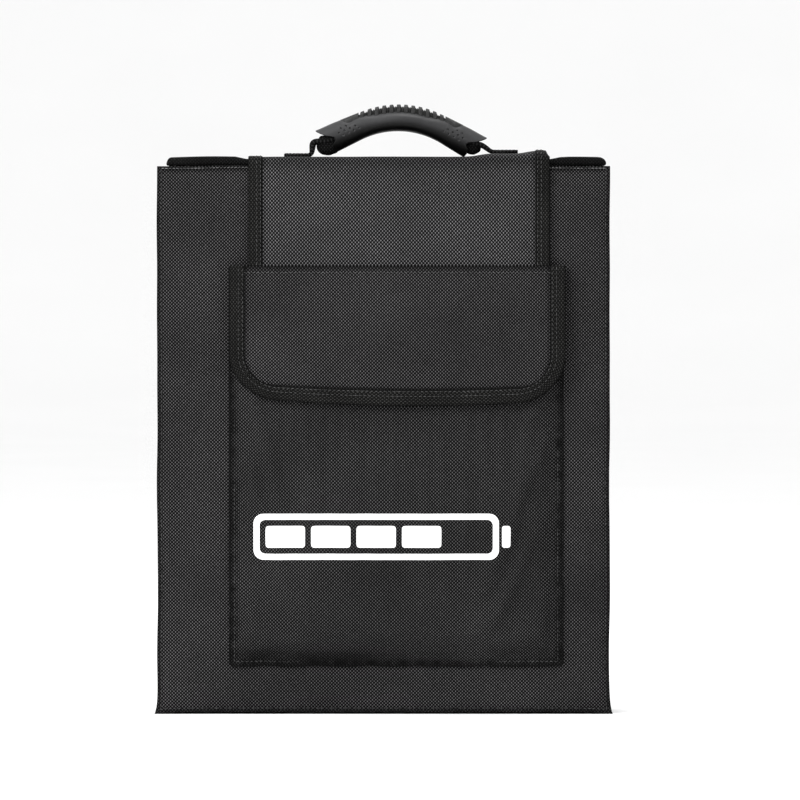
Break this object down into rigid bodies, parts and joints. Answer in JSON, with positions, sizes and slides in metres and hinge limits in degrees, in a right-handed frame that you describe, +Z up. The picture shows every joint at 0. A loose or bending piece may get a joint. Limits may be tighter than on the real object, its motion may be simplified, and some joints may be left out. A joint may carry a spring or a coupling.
{
  "type": "lipo safe bag",
  "caption": "Upright flat box bag of black woven nylon for storing batteries, with a lid, a closing strap, a flapped patch pocket and a moulded carrying grip.",
  "frame": {"origin": "middle of the underside of the bag's bounding box, on the surface the bag stands on", "axes": "+X to the right seen from the front, front panel faces -Y, +Z up"},
  "size_m": [0.375, 0.0694, 0.503],
  "materials": {
    "nylon": "black ballistic-weave nylon, low sheen",
    "binding_tape": "smooth ribbed binding tape",
    "webbing": "flat black webbing",
    "hook_and_loop": "black hook-and-loop pile",
    "foam_board": "closed-cell foam board",
    "glass_cloth": "coated glass cloth",
    "moulded_grip": "dark grey moulded rubberised plastic, satin",
    "rib_rubber": "soft ribbed rubber"
  },
  "bodies": {
    "case": {"front_shell": "nylon", "front_board": "foam_board", "front_liner": "glass_cloth", "back_shell": "nylon", "back_board": "foam_board", "back_liner": "glass_cloth", "left_gusset": "nylon", "left_gusset_foam": "foam_board", "left_gusset_liner": "glass_cloth", "right_gusset": "nylon", "right_gusset_foam": "foam_board", "right_gusset_liner": "glass_cloth", "bottom_gusset": "nylon", "bottom_board": "foam_board", "bottom_liner": "glass_cloth", "back_strap": "nylon", "back_strap_binding_left": "binding_tape", "back_strap_binding_right": "binding_tape", "front_loop_tape": "hook_and_loop", "pocket_pouch": "nylon", "pocket_mouth_hem": "binding_tape", "pocket_loop_tape": "hook_and_loop"},
    "lid": {"lid_shell": "nylon", "lid_board": "foam_board", "lid_liner": "glass_cloth", "top_strap": "nylon", "top_strap_binding_left": "binding_tape", "top_strap_binding_right": "binding_tape", "handle_anchor_left": "webbing", "handle_anchor_right": "webbing"},
    "front_strap": {"front_strap": "nylon", "front_strap_binding_left": "binding_tape", "front_strap_binding_right": "binding_tape", "front_hook_tape": "hook_and_loop"},
    "pocket_flap": {"pocket_flap": "nylon", "pocket_flap_binding": "binding_tape", "pocket_hook_tape": "hook_and_loop"},
    "handle": {"handle_grip": "moulded_grip", "handle_rib_insert": "rib_rubber", "handle_webbing": "webbing"}
  },
  "joints": [
    {"name": "lid_hinge", "type": "hinge", "parent": "case", "child": "lid", "pos_m": [0, 0.03139, 0.45115], "axis": [-1, 0, 0], "range_deg": [0, 110]},
    {"name": "strap_hinge", "type": "hinge", "parent": "lid", "child": "front_strap", "pos_m": [0.0128, -0.02151, 0.458], "axis": [-1, 0, 0], "range_deg": [0, 90]},
    {"name": "pocket_flap_hinge", "type": "hinge", "parent": "front_strap", "child": "pocket_flap", "pos_m": [0.0115, -0.02581, 0.37], "axis": [-1, 0, 0], "range_deg": [0, 140]},
    {"name": "handle_tilt", "type": "hinge", "parent": "lid", "child": "handle", "pos_m": [0.0144, 0.00714, 0.47305], "axis": [-1, 0, 0], "range_deg": [-60, 60]}
  ]
}
